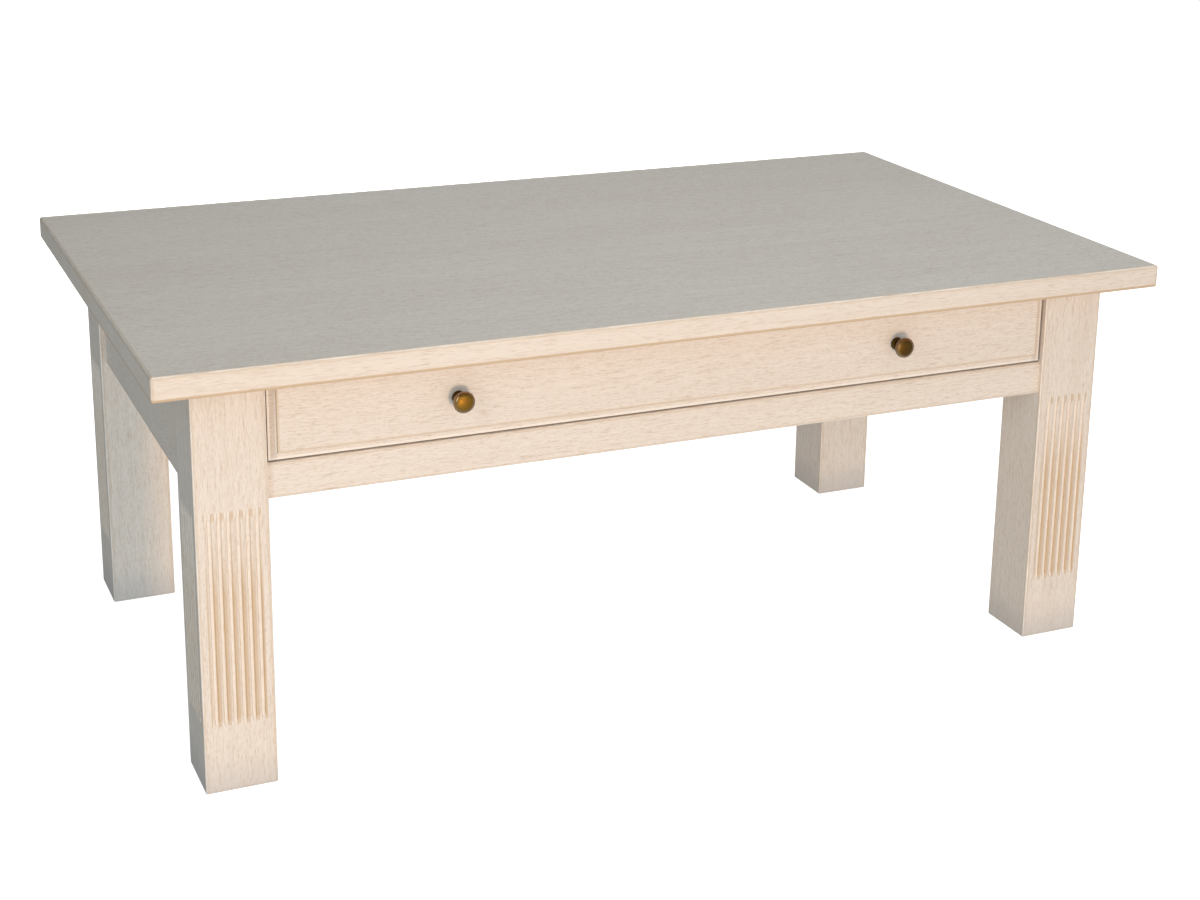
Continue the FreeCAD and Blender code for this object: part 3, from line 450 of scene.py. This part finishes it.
def drive_screws(name, places, body, node, **sizes):
    """Stand a screw at each place, pointing along its aim, and let the set stand for a CAD node."""
    points = bpy.data.meshes.new(f"{name}_places")
    points.from_pydata([place for place, aim in places], [], [])
    aims = points.attributes.new("aim", "FLOAT_VECTOR", "POINT")
    aims.data.foreach_set("vector", [share for place, aim in places for share in aim])
    screws = bpy.data.objects.new(name, points)
    bpy.context.scene.collection.objects.link(screws)
    modifier = screws.modifiers.new("driven", "NODES")
    modifier.node_group = driven_screws
    wanted = {socket.name: socket.identifier for socket in driven_screws.interface.items_tree}
    for size, length in sizes.items():
        modifier[wanted[size.replace("_", " ")]] = length
    modifier[wanted["Metal"]] = steel
    made = bpy.data.meshes.new_from_object(screws.evaluated_get(bpy.context.evaluated_depsgraph_get()))
    screws.modifiers.remove(modifier)
    screws.data = made
    made.name = name
    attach(screws, body)
    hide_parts(node)


def frame_screws(name, places, node, length):
    """A set of wood screws in the frame, sized for countersunk heads that are flush with the wood."""
    taper = (SCREW_HEAD - SCREW_SHANK) / 2
    drive_screws(
        name, places, "frame", node,
        Face_width=SCREW_HEAD, Neck_width=SCREW_SHANK, Head_height=taper, Head_lift=0.0,
        Shank_width=SCREW_SHANK, Length=length, Recess_width=0.6 * SCREW_HEAD,
    )


UP, BACK, DOWN = (0, 0, 1), (0, 1, 0), (0, 0, -1)
stretcher_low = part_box("front_stretcher")[0]
leg_inner_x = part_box("leg_front_right")[0].x
leg_inner_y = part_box("leg_back_right")[0].y
stretcher_middle_y = (stretcher_low.y - leg_inner_y) / 2
under_top = [
    ((share * 2 * leg_inner_x, stretcher_middle_y, stretcher_low.z), UP) for share in (-0.4, -0.15, 0.15, 0.4)
]
down_guides = []
for side in ("left", "right"):
    guide_low, guide_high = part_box(f"drawer_guide_{side}")
    guide_x = (guide_low.x + guide_high.x) / 2
    inner_x = math.copysign(leg_inner_x, guide_x)
    apron_low, apron_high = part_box(f"side_apron_{side}")
    apron_x = apron_low.x if guide_x > 0 else apron_high.x
    for share in (-0.35, 0, 0.35):
        under_top.append((((inner_x + apron_x) / 2, share * 2 * leg_inner_y, stretcher_low.z), UP))
        down_guides.append(((guide_x, share * 2 * leg_inner_y, guide_high.z), DOWN))
through_blocks = []
for position in ("left", "middle", "right"):
    low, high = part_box(f"fixing_block_{position}")
    middle, quarter = (low + high) / 2, (high.x - low.x) / 4
    through_blocks.append(((middle.x - quarter, middle.y, low.z), UP))
    through_blocks.append(((middle.x + quarter, low.y, middle.z), BACK))
frame_screws("top_screw_set", under_top, "top_screws", TOP_SCREW_LENGTH)
frame_screws("guide_screw_set", down_guides, "guide_screws", GUIDE_SCREW_LENGTH)
frame_screws("block_screw_set", through_blocks, "block_screws", BLOCK_SCREW_LENGTH)


# Drawer front: one limed board with a flat field. A quirk, a cove and a thin lip run round all four sides.
# Tan glaze sits darkest in the quirk, and its darkness there is partly painted shade of the step. The lip and
# the fillet beside the quirk are painted pale as lit faces. Painted shade darkens the end coves and, near the
# front, the outer ends that face the gaps beside the drawer.
# Dowels join it to the drawer's sides.
front_finish = Finish("limed_beech_drawer_front")
front_low, front_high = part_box("drawer_front")
behind_field = front_finish.sum("SUBTRACT", front_finish.axis(front_finish.place, "Y"), front_low.y)
off_front_middle = front_finish.vector("SUBTRACT", front_finish.place, (front_low + front_high) / 2)
front_reach = front_finish.vector("ABSOLUTE", off_front_middle)
front_room = front_finish.vector("SUBTRACT", (front_high - front_low) / 2, front_reach)
from_end = front_finish.axis(front_room, "X")
from_edge = front_finish.sum("MINIMUM", from_end, front_finish.axis(front_room, "Z"))
off_field = front_finish.fade(behind_field, 0.00005, 0.0003)
# Glaze in the quirk and the cove, partly painted shade of the step and the hollow.
in_quirk = front_finish.sum("MULTIPLY", front_finish.fade(behind_field, 0.0025, 0.0018), 0.75)
in_cove = front_finish.sum("MULTIPLY", front_finish.fade(from_edge, 0.0024, 0.0030), 0.06)
on_edge = front_finish.sum("MULTIPLY", front_finish.fade(from_edge, 0.0125, 0.0092), 0.46)
on_field = front_finish.sum("MULTIPLY", front_finish.sum("SUBTRACT", 1, off_field), on_edge)
off_field_glaze_and_shade = front_finish.sum("MULTIPLY", off_field, front_finish.sum("MAXIMUM", in_quirk, in_cove))
front_glaze_and_shade = front_finish.sum("ADD", on_field, off_field_glaze_and_shade)
# Painted light: the lip and the fillet are made pale, as faces turned to the light.
on_lip = front_finish.fade(from_edge, 0.0028, 0.0022)
past_quirk = front_finish.fade(behind_field, 0.0025, 0.0030)
on_fillet = front_finish.sum("MULTIPLY", past_quirk, front_finish.fade(behind_field, 0.0046, 0.0041))
front_painted_light = front_finish.sum("MULTIPLY", front_finish.sum("MAXIMUM", on_lip, on_fillet), 0.6)
front_board = sawn_board(front_finish, "X", (5.1, 0.18, -0.62))
# Painted shade: the outer ends near the front and the end coves are darkened, as gaps and hollows the light
# misses.
near_lip = front_finish.sum("MULTIPLY", front_finish.fade(behind_field, 0.018, 0.010), 0.7)
on_side = front_finish.sum("MULTIPLY", front_finish.fade(from_end, 0.0005, 0.0001), near_lip)
inside_lip = front_finish.fade(from_end, 0.0024, 0.0030)
cove_width = front_finish.sum("MULTIPLY", inside_lip, front_finish.fade(from_end, 0.0100, 0.0092))
end_cove = front_finish.sum("MULTIPLY", front_finish.fade(behind_field, 0.0044, 0.0050), cove_width)
end_painted_shade = front_finish.sum("MAXIMUM", on_side, front_finish.sum("MULTIPLY", end_cove, 0.15))
front_material = limed_beech(front_finish, front_board, front_glaze_and_shade, front_painted_light, painted_shade=end_painted_shade)
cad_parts["drawer_front"].material_slots[0].material = front_material


# Drawer box: plain beech sides and back with eased upper edges, and a plywood bottom in a groove. Dowels hold
# the corners and pins hold the bottom up under the back.
plain_beech("drawer_side_left", "Y", (0.8, 0.5, -0.3))
plain_beech("drawer_side_right", "Y", (2.2, -0.5, -0.35))
plain_beech("drawer_back", "X", (3.4, -0.3, -0.3))
plain_beech("drawer_dowels", "Y", (4.4, 0.3, -0.3))
PLY_PALE = tint(228, 205, 170)
PLY_LINE = tint(208, 177, 135)
PLY_FIBRE = tint(186, 150, 108)
PLY_CORE = tint(176, 136, 94)


def plywood():
    """Birch plywood: a rotary-cut face with long wavy figure, and three plies on its edges."""
    finish = Finish("birch_plywood")
    board = sawn_board(finish, "X", (0.2, 0.3, 0.1))
    figure_stretch = finish.vector("MULTIPLY", board, (1.6, 16, 16))
    figure_sockets = {"Vector": figure_stretch, "Scale": 1, "Detail": 2, "Distortion": 1.4}
    figure = finish.add("ShaderNodeTexNoise", figure_sockets)
    painted_shade_lines = finish.add("ShaderNodeTexNoise", {"W": figure, "Scale": 34, "Detail": 2}, noise_dimensions="1D")
    fibres = finish.clouds(board, (24, 700, 700), 3)
    low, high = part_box("drawer_bottom")
    level = finish.sum("SUBTRACT", finish.axis(finish.place, "Z"), (low.z + high.z) / 2)
    core = finish.fade(finish.sum("ABSOLUTE", level), 0.0012, 0.0009)
    colour = finish.mix(finish.fade(painted_shade_lines, 0.3, 0.75), PLY_PALE, PLY_LINE)
    colour = finish.mix(finish.fade(fibres, 0.5, 1.0), colour, PLY_FIBRE)
    colour = finish.mix(core, colour, PLY_CORE)
    roughness = finish.fade(fibres, -1.4, 1.1)
    return finish.close(colour, roughness, fibres, 0.00005)


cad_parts["drawer_bottom"].material_slots[0].material = plywood()
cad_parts["bottom_pins"].material_slots[0].material = steel


# Knobs: turned brass mushrooms with an antique finish, each held by a screw from inside the drawer. Patina is
# dark on the foot, the waist and under the rim. The left knob's face is rubbed golden. The right one's is
# kept dark, partly as less rubbed brass and partly as painted shade for the darker reflection it shows.
PATINA_DARK = tint(76, 52, 21)
PATINA_BROWN = tint(100, 72, 31)
RUBBED_GOLD = tint(134, 97, 35)
RIM_GOLD = tint(146, 106, 44)


def antique_brass(piece, rub_and_shade):
    """Brass with a blotched patina, a burnished rim, and a face rubbed bare by the given share; a small share
    is painted shade for a darker reflection.
    """
    finish = Finish(f"antique_brass_{piece}")
    low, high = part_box(piece)
    from_axis = finish.vector("SUBTRACT", finish.place, ((low.x + high.x) / 2, 0, (low.z + high.z) / 2))
    turned = finish.vector("LENGTH", finish.vector("MULTIPLY", from_axis, (1, 0, 1)), output="Value")
    forward = finish.sum("SUBTRACT", front_low.y, finish.axis(finish.place, "Y"))
    blotches = finish.clouds(finish.place, (260, 260, 260), 3)
    tool_marks = {"W": turned, "Scale": 2600, "Detail": 2}
    turning = finish.add("ShaderNodeTexNoise", tool_marks, noise_dimensions="1D")
    rubbed = finish.fade(finish.sum("MULTIPLY_ADD", blotches, 0.003, forward), 0.0185, 0.0225)
    burnished = finish.fade(turned, 0.0080, 0.0100)
    past_face = finish.sum("MAXIMUM", finish.sum("SUBTRACT", turned, 0.0075), 0)
    rolled_edge = finish.sum("MULTIPLY", finish.sum("MULTIPLY", past_face, past_face), 89)
    height = finish.sum("SUBTRACT", finish.sum("MULTIPLY", turning, 0.00001), rolled_edge)
    colour = finish.mix(blotches, PATINA_DARK, PATINA_BROWN)
    # A low share keeps the face dark: partly less rubbing, partly painted shade of a darker reflection.
    colour = finish.mix(finish.sum("MULTIPLY", rubbed, rub_and_shade), colour, RUBBED_GOLD)
    colour = finish.mix(finish.sum("MULTIPLY", burnished, rubbed), colour, RIM_GOLD)
    matt = finish.fade(finish.sum("ADD", blotches, turning), -0.9, 2.9)
    roughness = finish.sum("SUBTRACT", matt, finish.sum("MULTIPLY", burnished, 0.18))
    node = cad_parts[piece]
    shine = {"Metallic": 1, "Coat_Weight": burnished, "Coat_Roughness": 0.14, "Coat_IOR": 1.6}
    node.material_slots[0].material = finish.close(colour, roughness, height, 1, **shine)


antique_brass("knob_left", 1.0)
antique_brass("knob_right", 0.12)
knob_screw_places = []
for side in ("left", "right"):
    low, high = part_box(f"knob_{side}")
    middle = (low + high) / 2
    knob_screw_places.append(((middle.x, front_high.y, middle.z), (0, -1, 0)))
drive_screws(
    "knob_screw_set", knob_screw_places, "drawer", "knob_screws",
    Face_width=0.0068, Neck_width=0.008, Head_height=0.003, Head_lift=0.003,
    Shank_width=0.004, Length=0.031, Recess_width=0.005,
)


# Floor: a plain white studio sweep that curves up all round the table. It is seen, but it neither lights nor
# shades the table, so the room's light reaches that from below too.
FLOOR_RADIUS = 7.0
RISE_RADIUS = 3.0
RISE_STEPS = 12
WALL_HEIGHT = 8.0
SPOKES = 64
SWEEP_GREY = tint(166, 166, 166)
SWEEP_PALE = tint(170, 170, 169)


def studio_sweep():
    """Matt white with faint clouds, glowing so that it looks white from every side."""
    finish = Finish("white_sweep")
    shade = finish.clouds(finish.place, (0.8, 0.8, 0.8), 2)
    colour = finish.mix(shade, SWEEP_GREY, SWEEP_PALE)
    roughness = finish.fade(shade, -4.0, 1.2)
    return finish.close(colour, roughness, shade, 0.0002, Emission_Color=(1, 1, 1, 1), Emission_Strength=0.97)


steps = [(0.0, 0.0), (FLOOR_RADIUS, 0.0)]
for step in range(1, RISE_STEPS + 1):
    angle = step / RISE_STEPS * math.pi / 2
    steps.append((FLOOR_RADIUS + RISE_RADIUS * math.sin(angle), RISE_RADIUS * (1 - math.cos(angle))))
steps.append((FLOOR_RADIUS + RISE_RADIUS, WALL_HEIGHT))
corners = [(0, 0, 0)]
faces = []
for ring, (reach, height) in enumerate(steps[1:]):
    for spoke in range(SPOKES):
        angle = 2 * math.pi * spoke / SPOKES
        corners.append((reach * math.cos(angle), reach * math.sin(angle), height))
        here, there = 1 + ring * SPOKES + spoke, 1 + ring * SPOKES + (spoke + 1) % SPOKES
        faces.append((0, here, there) if ring == 0 else (here - SPOKES, here, there, there - SPOKES))
sweep_mesh = bpy.data.meshes.new("studio_floor")
sweep_mesh.from_pydata(corners, [], faces)
sweep_mesh.materials.append(studio_sweep())
sweep_mesh.polygons.foreach_set("use_smooth", [True] * len(faces))
floor = bpy.data.objects.new("studio_floor", sweep_mesh)
bpy.context.scene.collection.objects.link(floor)
floor.visible_diffuse = False
floor.visible_glossy = False
floor.visible_shadow = False


# Light: a small warm lamp low in front, a nearer cool softbox that falls off to the right, a tall cool strip
# on the left and a wide cool softbox overhead, with low fills on the right and behind. The room is bright in
# front and below, and dim behind.
ROOM_AXIS = (0, -0.72, -0.69)
ROOM_DIM = (0.07, 0.08, 0.09, 1)
ROOM_BRIGHT = (0.66, 0.78, 0.89, 1)


def softbox(name, place, target, width, height, power, colour):
    """A soft rectangular light that points from its place at a target."""
    lamp = bpy.data.lights.new(name, "AREA")
    lamp.shape = "RECTANGLE"
    lamp.size, lamp.size_y = width, height
    lamp.energy = power
    lamp.color = colour
    holder = bpy.data.objects.new(name, lamp)
    aim = Vector(target) - Vector(place)
    holder.matrix_world = Matrix.Translation(place) @ aim.to_track_quat("-Z", "Y").to_matrix().to_4x4()
    bpy.context.scene.collection.objects.link(holder)


softbox("front_lamp", (-0.34, -3.4, 0.15), (0, -0.3, 0.35), 0.3, 0.3, 32, (1.0, 0.58, 0.24))
softbox("front_softbox", (-0.4, -2.0, 0.2), (-0.1, -0.35, 0.3), 0.4, 0.4, 5.2, (0.80, 0.93, 1.0))
softbox("left_softbox", (-2.4, -1.75, 1.7), (0, 0, 0.4), 0.3, 2.4, 20, (0.84, 0.95, 1.0))
softbox("right_softbox", (3.0, 0.5, 0.4), (0, 0, 0.3), 0.6, 0.6, 16, (0.92, 0.97, 1.0))
softbox("overhead_softbox", (0.5, -0.45, 2.7), (0, 0, 0.45), 2.4, 1.8, 38.5, (0.80, 0.91, 1.0))
softbox("back_softbox", (0.5, 2.9, 0.3), (0, 0.3, 0.3), 2.0, 0.6, 80, (1.0, 0.97, 0.94))
room = bpy.data.worlds.new("room_light")
room.use_nodes = True
sky = room.node_tree
ahead = sky.nodes.new("ShaderNodeVectorMath")
ahead.operation = "DOT_PRODUCT"
ahead.inputs[1].default_value = ROOM_AXIS
brightness = sky.nodes.new("ShaderNodeMapRange")
brightness.interpolation_type = "SMOOTHSTEP"
brightness.inputs["From Min"].default_value = -0.2
brightness.inputs["From Max"].default_value = 0.5
tones = sky.nodes.new("ShaderNodeMix")
tones.data_type = "RGBA"
tones.inputs[6].default_value = ROOM_DIM
tones.inputs[7].default_value = ROOM_BRIGHT
sky.links.new(sky.nodes.new("ShaderNodeTexCoord").outputs["Generated"], ahead.inputs[0])
sky.links.new(ahead.outputs["Value"], brightness.inputs["Value"])
sky.links.new(brightness.outputs["Result"], tones.inputs[0])
sky.links.new(tones.outputs[2], sky.nodes["Background"].inputs["Color"])
bpy.context.scene.world = room


# Camera: at the photograph's place, looking down at the table from the front and its left. Its place, turn
# and lens are fitted to the table's corners, and its shift is what the photograph's framing needs.
CAMERA_PLACE = (-0.9507, -2.2679, 1.1150)
CAMERA_AZIMUTH = math.radians(-24.379)
CAMERA_ELEVATION = math.radians(15.839)
CAMERA_ROLL = math.radians(1.020)
CAMERA_LENS = 61.831
CAMERA_SHIFT = (-0.0333, -0.13)
camera_data = bpy.data.cameras.new("camera")
camera_data.lens = CAMERA_LENS
camera_data.sensor_width = 36
camera_data.shift_x, camera_data.shift_y = CAMERA_SHIFT
camera = bpy.data.objects.new("camera", camera_data)
backward = Vector((
    math.sin(CAMERA_AZIMUTH) * math.cos(CAMERA_ELEVATION),
    -math.cos(CAMERA_AZIMUTH) * math.cos(CAMERA_ELEVATION),
    math.sin(CAMERA_ELEVATION),
))
level_right = Vector((math.cos(CAMERA_AZIMUTH), math.sin(CAMERA_AZIMUTH), 0))
level_up = backward.cross(level_right)
right = math.cos(CAMERA_ROLL) * level_right + math.sin(CAMERA_ROLL) * level_up
up = -math.sin(CAMERA_ROLL) * level_right + math.cos(CAMERA_ROLL) * level_up
camera.matrix_world = Matrix.Translation(CAMERA_PLACE) @ Matrix((right, up, backward)).transposed().to_4x4()
bpy.context.scene.collection.objects.link(camera)
bpy.context.scene.camera = camera
bpy.context.scene.view_settings.view_transform = "Standard"
